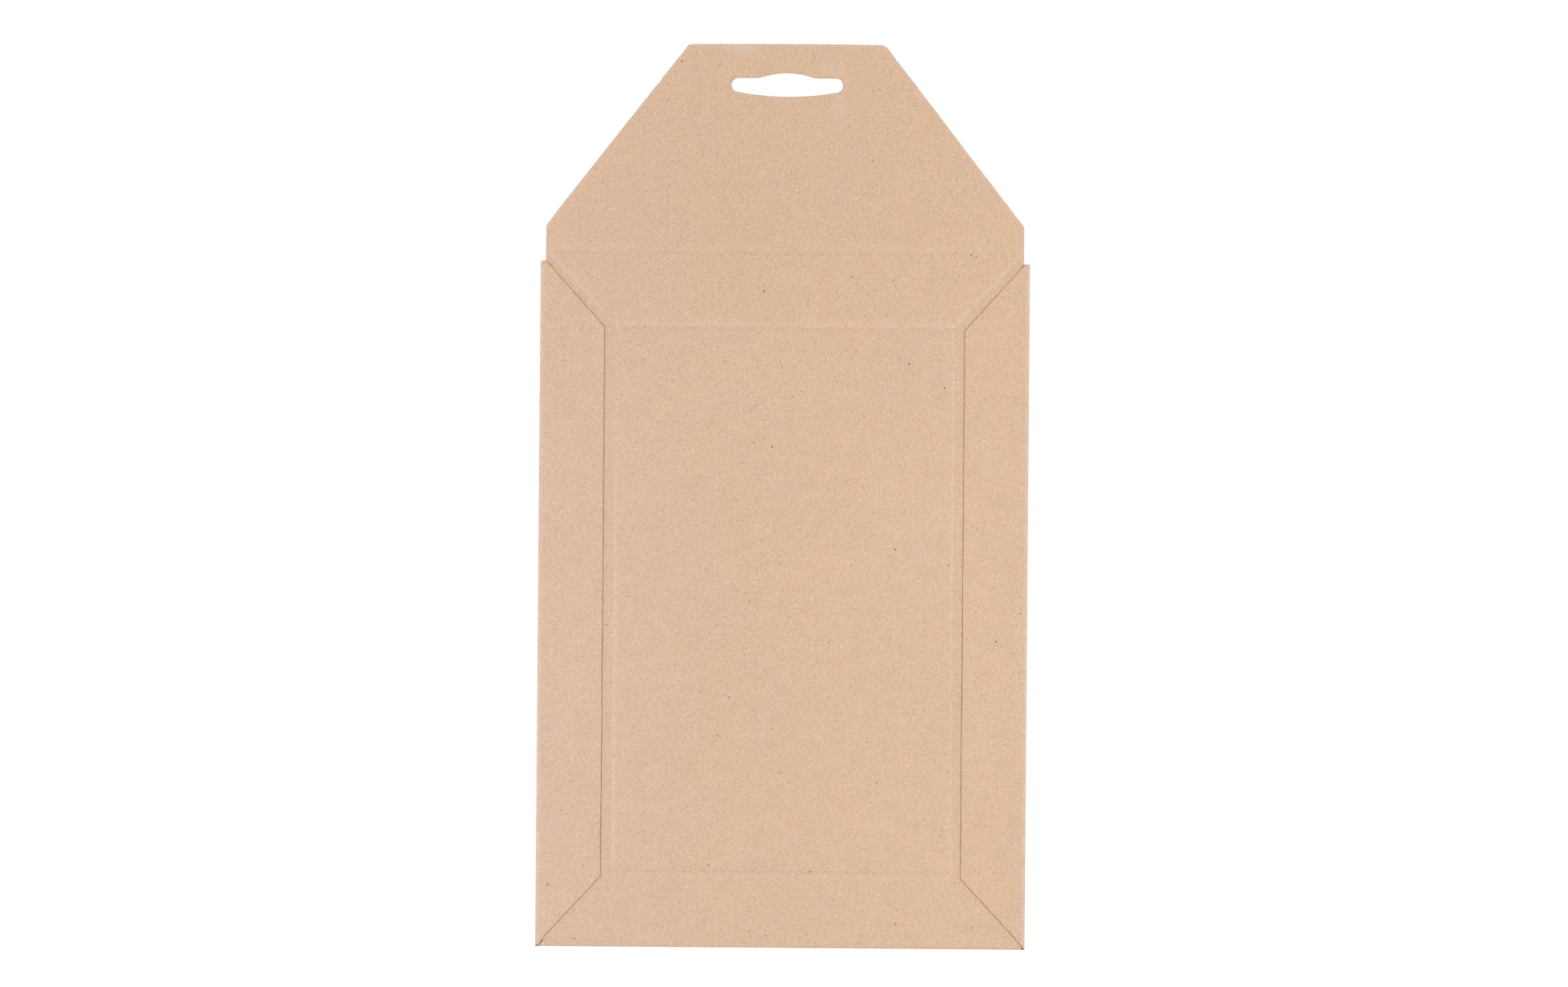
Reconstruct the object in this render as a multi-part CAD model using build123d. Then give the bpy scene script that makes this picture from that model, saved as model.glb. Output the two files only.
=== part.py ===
from build123d import *
import math
import os

# A flat mailer envelope of solid recycled board, folded from one die-cut blank.
# It lies on its front panel: +X to the right, +Y from the bottom fold towards the
# closure flap, +Z up out of the back panel. Millimetres. Heights up the mailer are
# first given from the bottom fold, and everything is moved down at the end, so that
# the origin is under the middle of the whole outline.

# ---- board and play between the layers -------------------------------------
BOARD = 0.60            # thickness of the solid board
POCKET = 0.15           # play between front and back panel when it is empty
GLUE = 0.10             # thickness of the glue line under each side flap

# ---- outline ---------------------------------------------------------------
BODY_W = 185.0          # over the two side folds
MOUTH_Y = 259.1         # top edge of the front panel and of the side flaps
LENGTH = 341.85         # bottom fold to the tip of the closure flap, flap open
CORNER_Y = -0.10        # the lower corners stand out this far past the bottom fold
BACK_L = -90.49         # left cut edge of the back panel and closure flap
BACK_R = 90.22          # right cut edge of the same
BACK_LOW = 91.40        # inside the pocket both edges run outwards, to this at the bottom fold
BACK_TURN = 250.0       # the height they start from
SHOULDER_L = 272.5      # where the closure flap starts to taper, left
SHOULDER_R = 273.2      # the same, right
TAPER_L = (-86.22, 278.34)   # a point on the taper just above the left shoulder
TAPER_R = (85.13, 279.72)    # the same, right
TIP_L = (-37.05, 341.50)     # sharp corner of the tip, before rounding
TIP_R = (37.14, 341.70)
TIP_RADIUS = 2.7
SHOULDER_RADIUS = 0.6

# ---- side flaps (folded over the back panel and glued) -----------------------
FLAP_EDGE = 67.95       # distance of the free edge from the middle
FLAP_LOW = 26.70        # lower end of the free edge, where the mitre starts
FLAP_HIGH = 234.20      # upper end of the free edge
FLAP_TOP_IN = 90.22     # where the upper mitre meets the flap's top edge

# ---- hang slot ---------------------------------------------------------------
SLOT_X = 0.20           # middle of the slot
SLOT_HALF = 21.20       # half its length
SLOT_TOP = 329.00       # upper edge of its two arms
SLOT_R = 2.75           # radius of its ends, half the height of an arm
HUMP_HALF = 10.50       # half the width of the raised middle
HUMP_TOP = 330.90       # crown of the raised middle
SLOT_BELLY = 321.78     # lowest point of the lower edge

# ---- score lines of the back panel ---------------------------------------------
SCORE_X = 63.80         # upright score lines, left and right
SCORE_LOW = 27.40       # lower cross score
SCORE_HIGH = 235.30     # upper cross score
SCORE_FLAP = 262.50     # score that the closure flap folds on
SCORE_END = 88.70       # where the slanting corner scores run into it, from the middle
BEAD_W = 1.50           # width of a score's raised bead
BEAD_H = 0.10           # its height
CHANNEL_W = 1.10        # width of the channel on the other face
CHANNEL_H = 0.08        # its depth

# ---- glue lines -------------------------------------------------------------------
GLUE_IN = 71.0          # inner edge of a glue line, from the middle
GLUE_OUT = 86.0         # outer edge
GLUE_LOW = 32.0
GLUE_HIGH = 229.0

# ---- levels ----------------------------------------------------------------------
FRONT_Z = 0.0                       # underside of the front panel
BACK_Z = BOARD + POCKET             # underside of the back panel
SIDE_Z = BACK_Z + BOARD + GLUE      # underside of the side flaps
HEIGHT = SIDE_Z + BOARD             # total thickness over a side flap

R_BOTTOM = (BACK_Z + BOARD) / 2     # outer radius of the bottom fold
R_SIDE = HEIGHT / 2                 # outer radius of the side folds
SIDE_X = BODY_W / 2 - R_SIDE        # where the side folds start


def prism(points, z, height):
    """A straight-sided solid over a closed outline."""
    face = make_face(Polyline(*points, close=True))
    return Pos(0, 0, z) * extrude(face, amount=height, dir=(0, 0, 1))


def half_ring(outer, length):
    """Half of a bent sheet: a half ring with its open side to -X, drawn in XY, extruded along +Z."""
    inner = outer - BOARD
    edge = [
        ThreePointArc((0, -outer), (outer, 0), (0, outer)),
        Line((0, outer), (0, inner)),
        ThreePointArc((0, inner), (inner, 0), (0, -inner)),
        Line((0, -inner), (0, -outer)),
    ]
    return extrude(make_face(edge), amount=length, dir=(0, 0, 1))


def score(p, q, z, width, height, side):
    """A rounded strip from p to q, with its round side up (side +1) or down (side -1) from the level z.
    Its flat side runs on 0.2 mm the other way, so that it joins the board as a bead or cuts it as a channel."""
    run = Vector(q[0] - p[0], q[1] - p[1], 0)
    along = run.normalized()
    plane = Plane(origin=(p[0], p[1], z), x_dir=(-along.Y, along.X, 0), z_dir=(along.X, along.Y, 0))
    root = -0.2 * side
    edge = [
        ThreePointArc((-width / 2, 0), (0, height * side), (width / 2, 0)),
        Line((width / 2, 0), (width / 2, root)),
        Line((width / 2, root), (-width / 2, root)),
        Line((-width / 2, root), (-width / 2, 0)),
    ]
    return extrude(plane * make_face(edge), amount=run.length, dir=along)


# ---- front panel -----------------------------------------------------------------
front = prism(
    [(-SIDE_X, R_BOTTOM), (SIDE_X, R_BOTTOM), (SIDE_X, MOUTH_Y), (-SIDE_X, MOUTH_Y)],
    FRONT_Z, BOARD,
)

# ---- back panel, running on into the closure flap ------------------------------------
back_edge = [
    Line((-BACK_LOW, R_BOTTOM), (BACK_LOW, R_BOTTOM)),
    Line((BACK_LOW, R_BOTTOM), (BACK_R, BACK_TURN)),
    Line((BACK_R, BACK_TURN), (BACK_R, SHOULDER_R)),
    Line((BACK_R, SHOULDER_R), TAPER_R),
    Line(TAPER_R, TIP_R),
    ThreePointArc(TIP_R, (0.0, LENGTH), TIP_L),
    Line(TIP_L, TAPER_L),
    Line(TAPER_L, (BACK_L, SHOULDER_L)),
    Line((BACK_L, SHOULDER_L), (BACK_L, BACK_TURN)),
    Line((BACK_L, BACK_TURN), (-BACK_LOW, R_BOTTOM)),
]
back_face = make_face(back_edge)
tips = [v for v in back_face.vertices() if v.Y > LENGTH - 2]
back_face = fillet(tips, TIP_RADIUS)
shoulders = [v for v in back_face.vertices() if SHOULDER_L - 1 < v.Y < SHOULDER_R + 1]
back_face = fillet(shoulders, SHOULDER_RADIUS)

arm_low = SLOT_TOP - 2 * SLOT_R
end_x = SLOT_HALF - SLOT_R
slot_edge = [
    Line((-end_x, SLOT_TOP), (-HUMP_HALF, SLOT_TOP)),
    ThreePointArc((-HUMP_HALF, SLOT_TOP), (0, HUMP_TOP), (HUMP_HALF, SLOT_TOP)),
    Line((HUMP_HALF, SLOT_TOP), (end_x, SLOT_TOP)),
    ThreePointArc((end_x, SLOT_TOP), (SLOT_HALF, SLOT_TOP - SLOT_R), (end_x, arm_low)),
    ThreePointArc((end_x, arm_low), (0, SLOT_BELLY), (-end_x, arm_low)),
    ThreePointArc((-end_x, arm_low), (-SLOT_HALF, SLOT_TOP - SLOT_R), (-end_x, SLOT_TOP)),
]
slot_face = make_face(slot_edge)
slot = Pos(SLOT_X, 0, BACK_Z - 1) * extrude(slot_face, amount=BOARD + 2, dir=(0, 0, 1))

plate = Pos(0, 0, BACK_Z) * extrude(back_face, amount=BOARD, dir=(0, 0, 1))
reach = Pos(0, 0, BACK_Z - 1) * extrude(back_face, amount=BOARD + 2, dir=(0, 0, 1))

# The score lines stand up on the visible face as beads, with a channel behind them.
upper_z = BACK_Z + BOARD
box_l, box_r = -SCORE_X, SCORE_X
bead_lines = [
    ((box_l, SCORE_LOW), (box_l, SCORE_HIGH)),
    ((box_r, SCORE_LOW), (box_r, SCORE_HIGH)),
    ((box_l, SCORE_LOW), (box_r, SCORE_LOW)),
    ((box_l, SCORE_HIGH), (box_r, SCORE_HIGH)),
    ((box_l, SCORE_HIGH), (-SCORE_END, SCORE_FLAP)),
    ((box_r, SCORE_HIGH), (SCORE_END, SCORE_FLAP)),
]
back = plate
for p, q in bead_lines:
    back = back + (score(p, q, upper_z, BEAD_W, BEAD_H, 1) & reach)
for p, q in bead_lines:
    back = back - score(p, q, BACK_Z, CHANNEL_W, CHANNEL_H, 1)
# The closure flap's own score is pressed the other way: a channel on the visible face.
fold_line = ((BACK_L - 1, SCORE_FLAP), (BACK_R + 1, SCORE_FLAP))
back = back + (score(*fold_line, BACK_Z, BEAD_W, BEAD_H, -1) & reach)
back = back - score(*fold_line, upper_z, CHANNEL_W, CHANNEL_H, -1)
back = back - slot

# ---- bottom fold ---------------------------------------------------------------------
# The half ring is turned so that its axis lies along X and it opens towards +Y.
fold = half_ring(R_BOTTOM, 2 * BACK_LOW)
fold_plane = Plane(origin=(-BACK_LOW, R_BOTTOM, R_BOTTOM), x_dir=(0, -1, 0), z_dir=(1, 0, 0))
bottom_fold = fold_plane * fold

# ---- side flaps and side folds -----------------------------------------------------------
mitre_end = 0.18        # height of the lower mitre's outer end, at the side fold


def side(sign):
    """A side fold with its flap; sign is -1 for the left one and +1 for the right one."""
    slope = (FLAP_LOW - mitre_end) / (BODY_W / 2 - FLAP_EDGE)
    low_at = lambda x: FLAP_LOW - (x - FLAP_EDGE) * slope
    flap = prism(
        [
            (sign * FLAP_EDGE, FLAP_LOW), (sign * SIDE_X, low_at(SIDE_X)),
            (sign * SIDE_X, MOUTH_Y), (sign * FLAP_TOP_IN, MOUTH_Y),
            (sign * FLAP_EDGE, FLAP_HIGH),
        ],
        SIDE_Z, BOARD,
    )
    ring = half_ring(R_SIDE, MOUTH_Y - CORNER_Y)
    # local z runs up the mailer, and the ring's open side faces the middle
    place = Plane(origin=(sign * SIDE_X, CORNER_Y, R_SIDE), x_dir=(sign, 0, 0), z_dir=(0, 1, 0))
    bend = place * ring
    below = prism(
        [
            (sign * (SIDE_X - 0.5), low_at(SIDE_X - 0.5)), (sign * (BODY_W / 2 + 0.5), low_at(BODY_W / 2 + 0.5)),
            (sign * (BODY_W / 2 + 0.5), -1.0), (sign * (SIDE_X - 0.5), -1.0),
        ],
        R_SIDE, HEIGHT,
    )
    return flap + (bend - below)


blank = front + bottom_fold + back + side(-1) + side(1)

# ---- glue lines ------------------------------------------------------------------------
def glue(sign):
    """A thin dried line of glue between the back panel and a side flap."""
    return prism(
        [
            (sign * GLUE_IN, GLUE_LOW), (sign * GLUE_OUT, GLUE_LOW - 12.0),
            (sign * GLUE_OUT, GLUE_HIGH + 12.0), (sign * GLUE_IN, GLUE_HIGH),
        ],
        BACK_Z + BOARD, GLUE,
    )


pieces = {
    "folded_blank": blank,
    "glue_seam_left": glue(-1),
    "glue_seam_right": glue(1),
}

os.makedirs("parts", exist_ok=True)
for name, shape in pieces.items():
    placed = Pos(0, -(LENGTH + CORNER_Y) / 2, 0) * shape
    solids = placed.solids()
    box = placed.bounding_box()
    print(name, len(solids), "solid(s)", round(placed.volume, 2), "mm3", box.min, box.max)
    export_step(solids[0] if len(solids) == 1 else Compound(solids), f"parts/{name}.step")
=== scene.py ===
import math

import bmesh
import bpy
import numpy as np
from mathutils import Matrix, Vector
from mathutils.geometry import delaunay_2d_cdt
from mathutils.kdtree import KDTree


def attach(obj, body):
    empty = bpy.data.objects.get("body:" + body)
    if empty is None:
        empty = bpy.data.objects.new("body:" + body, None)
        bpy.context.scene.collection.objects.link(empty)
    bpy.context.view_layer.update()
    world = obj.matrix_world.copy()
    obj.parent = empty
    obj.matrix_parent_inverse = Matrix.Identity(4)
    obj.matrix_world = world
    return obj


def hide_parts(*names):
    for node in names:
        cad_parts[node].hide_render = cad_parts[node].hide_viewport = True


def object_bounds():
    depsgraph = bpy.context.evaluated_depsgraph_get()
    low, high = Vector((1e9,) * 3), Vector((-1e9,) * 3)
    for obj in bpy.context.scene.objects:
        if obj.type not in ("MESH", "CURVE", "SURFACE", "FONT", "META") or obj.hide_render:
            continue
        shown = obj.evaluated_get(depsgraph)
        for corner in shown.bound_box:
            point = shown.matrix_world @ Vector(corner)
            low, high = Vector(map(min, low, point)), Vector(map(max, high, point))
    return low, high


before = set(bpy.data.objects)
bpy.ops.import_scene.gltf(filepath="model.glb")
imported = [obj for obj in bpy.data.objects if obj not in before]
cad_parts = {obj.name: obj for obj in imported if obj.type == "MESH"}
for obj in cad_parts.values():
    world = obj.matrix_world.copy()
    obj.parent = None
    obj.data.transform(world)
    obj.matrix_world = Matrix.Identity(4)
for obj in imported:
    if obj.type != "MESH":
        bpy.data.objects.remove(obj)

cad_low, cad_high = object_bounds()

# ============================================================================
# Sizes, in millimetres, as in the part's own source. y is first counted from the
# bottom fold; HALF is taken off at the end.
# ============================================================================
T = 0.60
BACK_Z = 0.75
SIDE_Z = 1.45
HEIGHT = 2.05
R_BOTTOM = 0.675
R_SIDE = 1.025
BODY_HALF = 92.5
SX = BODY_HALF - R_SIDE
MOUTH_Y = 259.1
LENGTH = 341.85
CORNER_Y = -0.10                        # the front panel's corners stand out past the bottom fold
HALF = (LENGTH + CORNER_Y) / 2
BACK_L, BACK_R = -90.49, 90.22
BACK_LOW, BACK_TURN = 91.43, 250.0      # the back panel widens from BACK_TURN down to the bottom fold
FLAP_EDGE, FLAP_LOW, FLAP_HIGH, FLAP_TOP_IN = 68.05, 26.70, 234.20, 90.36
SCORE_X, SCORE_LOW, SCORE_HIGH, SCORE_FLAP = 63.80, 27.40, 235.30, 262.50
SCORE_END = 88.70                       # where the corner scores reach the closure flap's score

ARC_S = math.pi * (R_SIDE - T / 2)      # length of a side fold along the middle of the board
ARC_B = math.pi * (R_BOTTOM - T / 2)    # the same for the bottom fold
S0 = SX + ARC_S                         # where the flat of a side flap starts, unfolded
B0 = R_BOTTOM - ARC_B                   # where the flat of the back panel starts, unfolded

rng = np.random.default_rng(614)


def smooth(x, lo, hi):
    t = np.clip((x - lo) / (hi - lo), 0.0, 1.0)
    return t * t * (3 - 2 * t)


class Wander:
    """A smooth random curve: a sum of sines whose wavelengths lie between two bounds, with a mean square of 1."""

    def __init__(self, shortest, longest, count=24):
        self.k = 2 * math.pi / np.exp(rng.uniform(math.log(shortest), math.log(longest), count))
        self.p = rng.uniform(0, 2 * math.pi, count)
        self.a = math.sqrt(2.0 / count)

    def __call__(self, s):
        s = np.asarray(s, float)
        return self.a * np.sin(s[..., None] * self.k + self.p).sum(-1)


# ============================================================================
# The unfolded blank, in a plane (a, b). The front panel keeps its own x and y.
# The side flaps lie outside it, and the back panel hangs below it, upside down.
# ============================================================================
def on_flap(x, y):
    """A point of a side flap, given where it lies when folded."""
    s = 1 if x > 0 else -1
    return (s * (S0 + SX - abs(x)), y)


def on_back(x, y):
    """A point of the back panel or closure flap, given where it lies when folded."""
    return (x, B0 - (y - R_BOTTOM))


def mitre_y(x):
    return FLAP_LOW - (x - FLAP_EDGE) * (FLAP_LOW - 0.22) / (BODY_HALF - FLAP_EDGE)


def arc_points(p, q, r, count, centre_side):
    """Points along a circular arc from p to q of radius r; its centre is to the left (+1) or right (-1) of p to q."""
    p, q = np.array(p, float), np.array(q, float)
    mid, d = (p + q) / 2, q - p
    half = np.hypot(*d) / 2
    n = np.array([-d[1], d[0]]) / (2 * half) * centre_side
    c = mid + n * math.sqrt(max(r * r - half * half, 0))
    a0 = math.atan2(*(p - c)[::-1])
    a1 = math.atan2(*(q - c)[::-1])
    while a1 - a0 > math.pi:
        a1 -= 2 * math.pi
    while a1 - a0 < -math.pi:
        a1 += 2 * math.pi
    return [tuple(c + r * np.array([math.cos(t), math.sin(t)])) for t in np.linspace(a0, a1, count)]


def rounded(corners):
    """A closed outline through corners (a, b, radius), with each corner rounded, as a list of points."""
    out = []
    n = len(corners)
    for i in range(n):
        p = np.array(corners[i][:2], float)
        r = corners[i][2]
        u = np.array(corners[i - 1][:2], float) - p
        v = np.array(corners[(i + 1) % n][:2], float) - p
        lu, lv = np.hypot(*u), np.hypot(*v)
        u, v = u / lu, v / lv
        angle = math.acos(max(-1.0, min(1.0, float(u @ v))))
        turn = math.pi - angle
        if r <= 0 or turn < 0.02:
            out.append(tuple(p))
            continue
        cut = min(r * math.tan(turn / 2), 0.45 * lu, 0.45 * lv)
        r = cut / math.tan(turn / 2)
        steps = max(3, int(math.ceil(turn / 0.22)), int(math.ceil(r * turn / 0.5)))
        start, end = p + u * cut, p + v * cut
        bis = (u + v) / np.hypot(*(u + v))
        c = p + bis * (r / math.sin(angle / 2))
        a0 = math.atan2(*(start - c)[::-1])
        a1 = math.atan2(*(end - c)[::-1])
        while a1 - a0 > math.pi:
            a1 -= 2 * math.pi
        while a1 - a0 < -math.pi:
            a1 += 2 * math.pi
        for t in np.linspace(a0, a1, steps + 1):
            out.append(tuple(c + r * np.array([math.cos(t), math.sin(t)])))
    return out


def fine_step(a, b):
    """How far apart outline points lie near (a, b)."""
    if SX - 0.3 < abs(a) < S0 + 0.3:
        return 0.30
    if B0 - 0.6 < b < R_BOTTOM + 0.3 and abs(a) < 91.6:
        return 0.20
    return 0.85


def densify(points):
    out = []
    n = len(points)
    for i in range(n):
        p = np.array(points[i], float)
        q = np.array(points[(i + 1) % n], float)
        length = np.hypot(*(q - p))
        if length < 1e-9:
            continue
        s = 0.0
        stops = [0.0]
        while True:
            at = p + (q - p) * (s / length)
            ahead = p + (q - p) * (min(s + 0.85, length) / length)
            s += min(fine_step(*at), fine_step(*ahead))
            if s > length - 0.5 * fine_step(*q):
                break
            stops.append(s)
        for k in stops:
            out.append(tuple(p + (q - p) * (k / length)))
    return out


def outward(points):
    """The direction out of the board at each point of a loop that has the board on its left."""
    p = np.array(points, float)
    d = np.roll(p, -1, 0) - np.roll(p, 1, 0)
    d /= np.linalg.norm(d, axis=1)[:, None]
    return np.stack([d[:, 1], -d[:, 0]], 1)


def back_x(side, y):
    """The cut edge of the back panel at a height y, inside the pocket."""
    top = BACK_R if side > 0 else -BACK_L
    return side * (BACK_LOW + (top - BACK_LOW) * min(max(y / BACK_TURN, 0.0), 1.0))


crown = [on_back(*p) for p in arc_points((-37.05, 341.42), (37.14, 341.62), 2750.0, 15, -1)][1:-1]
outline = [(*on_back(-37.05, 341.42), 2.7)]
outline += [(*p, 0.0) for p in crown]
outline += [
    (*on_back(37.14, 341.62), 2.7),
    (*on_back(85.13, 279.72), 30.0),
    (*on_back(BACK_R, 273.2), 0.6),
    (*on_back(BACK_R, BACK_TURN), 0.0),
    (BACK_LOW, B0 - 0.5, 0.0),
    (BACK_LOW - 0.03, B0 + 0.25, 0.0),
    (BACK_LOW - 0.04, R_BOTTOM - 0.35, 0.0),
    (BACK_LOW, R_BOTTOM + 0.02, 0.0),
    (SX, R_BOTTOM + 0.02, 0.0),
    (SX, CORNER_Y, 0.16),
    (SX + ARC_S * 0.50, CORNER_Y + 0.01, 0.3),
    (SX + ARC_S * 0.74, 0.42, 0.0),
    (*on_flap(SX - 0.01, mitre_y(SX)), 0.0),
    (*on_flap(FLAP_EDGE, FLAP_LOW), 0.4),
    (*on_flap(FLAP_EDGE, FLAP_HIGH - 0.35), 0.4),
    (*on_flap(FLAP_TOP_IN, MOUTH_Y - 0.34), 0.25),
    (*on_flap(SX - 0.01, MOUTH_Y + 0.02), 0.0),
    (SX + ARC_S * 0.5, MOUTH_Y + 0.12, 0.4),
    (SX, MOUTH_Y + 0.06, 0.0),
    (-SX, MOUTH_Y + 0.05, 0.0),
    (-SX - ARC_S * 0.24, MOUTH_Y + 0.03, 0.3),
    (-SX - ARC_S * 0.38, MOUTH_Y - 0.12, 0.3),
    (-SX - ARC_S * 0.50, MOUTH_Y - 0.40, 0.3),
    (-SX - ARC_S * 0.62, MOUTH_Y - 0.12, 0.3),
    (-SX - ARC_S * 0.76, MOUTH_Y + 0.05, 0.3),
    (*on_flap(-FLAP_TOP_IN, MOUTH_Y + 0.05), 0.25),
    (*on_flap(-FLAP_EDGE - 0.05, FLAP_HIGH + 0.15), 0.4),
    (*on_flap(-FLAP_EDGE, FLAP_LOW), 0.4),
    (*on_flap(-89.10, 3.92), 0.6),
    (*on_flap(-90.02, 2.35), 0.6),
    (*on_flap(-91.35, 0.72), 0.3),
    (-SX - ARC_S * 0.80, 0.30, 0.0),
    (-SX - ARC_S * 0.52, CORNER_Y + 0.01, 0.3),
    (-SX, CORNER_Y, 0.16),
    (-SX, R_BOTTOM + 0.02, 0.0),
    (-BACK_LOW, R_BOTTOM + 0.02, 0.0),
    (-BACK_LOW + 0.04, R_BOTTOM - 0.35, 0.0),
    (-BACK_LOW + 0.03, B0 + 0.25, 0.0),
    (-BACK_LOW, B0 - 0.5, 0.0),
    (*on_back(BACK_L, BACK_TURN), 0.0),
    (*on_back(BACK_L, 272.5), 0.6),
    (*on_back(-86.22, 278.34), 30.0),
]

# The hang slot, with the board on the left of its way round.
SLOT_C, SLOT_HALF, SLOT_TOP, SLOT_R = 0.20, 21.20, 329.00, 2.75
HUMP_HALF, HUMP_TOP, SLOT_BELLY = 10.50, 330.90, 321.78
end_x = SLOT_HALF - SLOT_R
arm_low = SLOT_TOP - 2 * SLOT_R


def slot_outline():
    pts = []
    hump_r = (HUMP_HALF ** 2 + (HUMP_TOP - SLOT_TOP) ** 2) / (2 * (HUMP_TOP - SLOT_TOP))
    belly_r = (end_x ** 2 + (arm_low - SLOT_BELLY) ** 2) / (2 * (arm_low - SLOT_BELLY))
    pts += [(-end_x, SLOT_TOP)]
    pts += [(-HUMP_HALF - 0.9, SLOT_TOP), (-HUMP_HALF - 0.3, SLOT_TOP + 0.03)]
    pts += arc_points((-HUMP_HALF, SLOT_TOP), (HUMP_HALF, SLOT_TOP), hump_r, 30, -1)[1:-1]
    pts += [(HUMP_HALF + 0.3, SLOT_TOP + 0.03), (HUMP_HALF + 0.9, SLOT_TOP)]
    for t in np.linspace(90, -90, 15):
        pts.append((end_x + SLOT_R * math.cos(math.radians(t)), SLOT_TOP - SLOT_R + SLOT_R * math.sin(math.radians(t))))
    pts += arc_points((end_x, arm_low), (-end_x, arm_low), belly_r, 44, -1)[1:-1]
    for t in np.linspace(-90, -270, 15)[:-1]:
        pts.append((-end_x + SLOT_R * math.cos(math.radians(t)), SLOT_TOP - SLOT_R + SLOT_R * math.sin(math.radians(t))))
    return [on_back(x + SLOT_C, y) for x, y in pts]


def area_of(points):
    p = np.array(points)
    q = np.roll(p, -1, 0)
    return 0.5 * (p[:, 0] * q[:, 1] - p[:, 1] * q[:, 0]).sum()


outer_loop = densify(rounded(outline))
if area_of(outer_loop) < 0:
    outer_loop.reverse()
slot_loop = densify(slot_outline())
if area_of(slot_loop) > 0:
    slot_loop.reverse()

# ---- ragged die-cut edges -----------------------------------------------------
EDGE_IN, CRUSHED_IN = 0.15, 0.14   # how far the flat of a face stops short of a cut edge, and of a side flap's


def lengths_along(points):
    p = np.array(points)
    step = np.linalg.norm(np.roll(p, -1, 0) - p, axis=1)
    return np.concatenate([[0], np.cumsum(step)[:-1]])


def near_fold_end(p):
    """The small notches where the folds meet, where an edge has no room to be ragged."""
    return (np.abs(p[:, 0]) > 90.0) & (np.abs(p[:, 0]) < S0 + 0.8) & (p[:, 1] < 3.0) & (p[:, 1] > B0 - 0.9)


def ragged(points, nicks, strength=1.0):
    p = np.array(points)
    n = outward(points)
    s = lengths_along(points)
    fine, mid, slow = Wander(1.7, 4.0), Wander(4, 16), Wander(30, 120)
    off = (0.022 * fine(s) + 0.018 * mid(s) + 0.022 * slow(s)) * strength - 0.02
    for _ in range(nicks):
        at, width, depth = rng.uniform(0, s[-1]), rng.uniform(0.4, 1.1), rng.uniform(-0.18, 0.08)
        off += depth * np.exp(-(((s - at) / width) ** 2))
    off[near_fold_end(p)] = 0
    return p + n * off[:, None], n


outer_cut, outer_n = ragged(outer_loop, 46)
slot_cut, slot_n = ragged(slot_loop, 5, 0.7)
flap_side = smooth(np.abs(outer_cut[:, 0]), S0 + 0.2, S0 + 1.0)[:, None]
loops = [
    (outer_cut - outer_n * (EDGE_IN + (CRUSHED_IN - EDGE_IN) * flap_side), outer_cut, outer_n),
    (slot_cut - slot_n * EDGE_IN, slot_cut, slot_n),
]

# ============================================================================
# The score lines of the back panel. Each has a way p to q, with its left side
# facing away from the panel's middle; the offsets are measured to that side.
#   form: (offset, half width, height) of the ridges and grooves
#   pale: (offset, width towards the middle, width away from it, strength): painted light along the score, partly rubbed
#       wear
#   dark: (offset, width, strength): painted shade beside the score
# ============================================================================
SCORES = [
    dict(p=(-SCORE_X, SCORE_LOW), q=(-SCORE_X, SCORE_HIGH),
         form=[(0.0, 0.75, 0.10)], pale=[(0.0, 1.00, 0.30, 0.150)], dark=[(1.10, 0.40, 0.012)],
         fade=lambda x, y: 1.25 - 0.95 * smooth(y, 115, 230)),
    dict(p=(SCORE_X, SCORE_HIGH), q=(SCORE_X, SCORE_LOW),
         form=[(0.20, 0.75, 0.10)], pale=[(0.34, 0.80, 0.32, 0.150)], dark=[(1.15, 0.35, 0.018)],
         fade=lambda x, y: 0.80 + 0.25 * smooth(y, 40, 90)),
    dict(p=(SCORE_X, SCORE_LOW), q=(-SCORE_X, SCORE_LOW),
         form=[(0.45, 0.90, 0.05), (-1.40, 0.50, -0.07)], pale=[(0.50, 0.55, 0.90, 0.060)], dark=[(-1.40, 0.34, 0.090)],
         fade=lambda x, y: 1.0 + 0 * x),
    dict(p=(-SCORE_X, SCORE_HIGH), q=(SCORE_X, SCORE_HIGH),
         form=[(0.20, 0.70, 0.10), (-1.50, 0.70, -0.05)], pale=[(0.20, 0.35, 0.95, 0.125)], dark=[(-1.40, 0.62, 0.040)],
         fade=lambda x, y: 1.0 + 0 * x),
    dict(p=(-SCORE_X, SCORE_HIGH), q=(-SCORE_END, SCORE_FLAP),
         form=[(0.30, 0.70, 0.08)], pale=[(0.30, 0.55, 0.45, 0.150)], dark=[(1.60, 0.60, 0.026)],
         fade=lambda x, y: 1.0 + 0 * x),
    dict(p=(SCORE_END, SCORE_FLAP), q=(SCORE_X, SCORE_HIGH),
         form=[(0.30, 0.70, 0.08)], pale=[(0.30, 0.80, 0.40, 0.190)], dark=[(1.45, 0.45, 0.026)],
         fade=lambda x, y: 1.0 + 0 * x),
    dict(p=(BACK_L - 1, SCORE_FLAP), q=(BACK_R + 1, SCORE_FLAP),
         form=[(-0.05, 0.80, -0.08)], pale=[(1.65, 0.60, 0.80, 0.040), (-1.3, 0.6, 0.5, 0.022)], dark=[(-0.10, 0.50, 0.036)],
         fade=lambda x, y: 1.0 - 0.35 * smooth(x, 20, 90)),
]


def off_line(x, y, p, q):
    """The distance off the line p to q (left is +), and how far outside its ends the point lies."""
    d = np.array(q, float) - np.array(p, float)
    length = np.hypot(*d)
    d /= length
    rx, ry = x - p[0], y - p[1]
    along = rx * d[0] + ry * d[1]
    return -rx * d[1] + ry * d[0], np.maximum(np.maximum(-along, along - length), 0), along


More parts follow.
